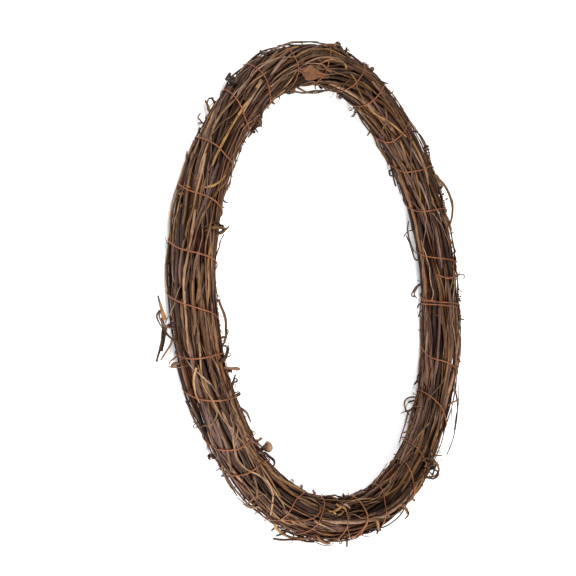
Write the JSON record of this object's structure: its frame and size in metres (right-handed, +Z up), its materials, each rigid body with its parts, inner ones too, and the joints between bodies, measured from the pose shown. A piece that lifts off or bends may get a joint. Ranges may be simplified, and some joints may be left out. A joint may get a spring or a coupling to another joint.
{
  "type": "rattan wreath",
  "caption": "Round grapevine-style wreath: a bundle of long woody vines bent into a ring, bound by one thin wire, with cut side shoots and curly tendrils.",
  "frame": {"origin": "centre of the wreath's bounding box on the surface it lies on", "axes": "+Z up out of the face that the picture shows, +Y towards the picture's top of the ring, -X towards its near, left side"},
  "size_m": [0.4112, 0.407, 0.0411],
  "materials": {
    "dark_bark": "dark grey-brown dry bark, matt, finely ridged along the vine",
    "brown_bark": "mid brown dry bark, matt, finely ridged along the vine",
    "tan_bark": "peeled golden-tan wood, slightly satin",
    "copper_wire": "copper-coloured binding wire, dull",
    "dry_leaf": "rust-brown dry leaf scrap, matt"
  },
  "bodies": {
    "root": {"core_vine_01": "tan_bark", "core_vine_02": "dark_bark", "core_vine_03": "dark_bark", "core_vine_04": "dark_bark", "inner_vine_01": "tan_bark", "inner_vine_02": "dark_bark", "inner_vine_03": "tan_bark", "inner_vine_04": "brown_bark", "inner_vine_05": "brown_bark", "inner_vine_06": "brown_bark", "inner_vine_07": "dark_bark", "inner_vine_08": "brown_bark", "inner_vine_09": "tan_bark", "outer_vine_01": "dark_bark", "outer_vine_02": "dark_bark", "outer_vine_03": "brown_bark", "outer_vine_04": "brown_bark", "outer_vine_05": "dark_bark", "outer_vine_06": "brown_bark", "outer_vine_07": "tan_bark", "outer_vine_08": "dark_bark", "outer_vine_09": "dark_bark", "outer_vine_10": "brown_bark", "outer_vine_11": "dark_bark", "outer_vine_12": "dark_bark", "outer_vine_13": "dark_bark", "outer_vine_14": "brown_bark", "outer_vine_15": "dark_bark", "outer_vine_16": "dark_bark", "outer_vine_17": "brown_bark", "outer_vine_18": "dark_bark", "outer_vine_19": "brown_bark", "outer_vine_20": "dark_bark", "outer_vine_21": "brown_bark", "outer_vine_22": "tan_bark", "outer_vine_23": "dark_bark", "outer_vine_24": "tan_bark", "outer_vine_25": "dark_bark", "crossing_vine_1": "tan_bark", "crossing_vine_2": "dark_bark", "crossing_vine_3": "brown_bark", "crossing_vine_4": "dark_bark", "binding_wire": "copper_wire", "dry_leaf": "dry_leaf"}
  },
  "joints": []
}
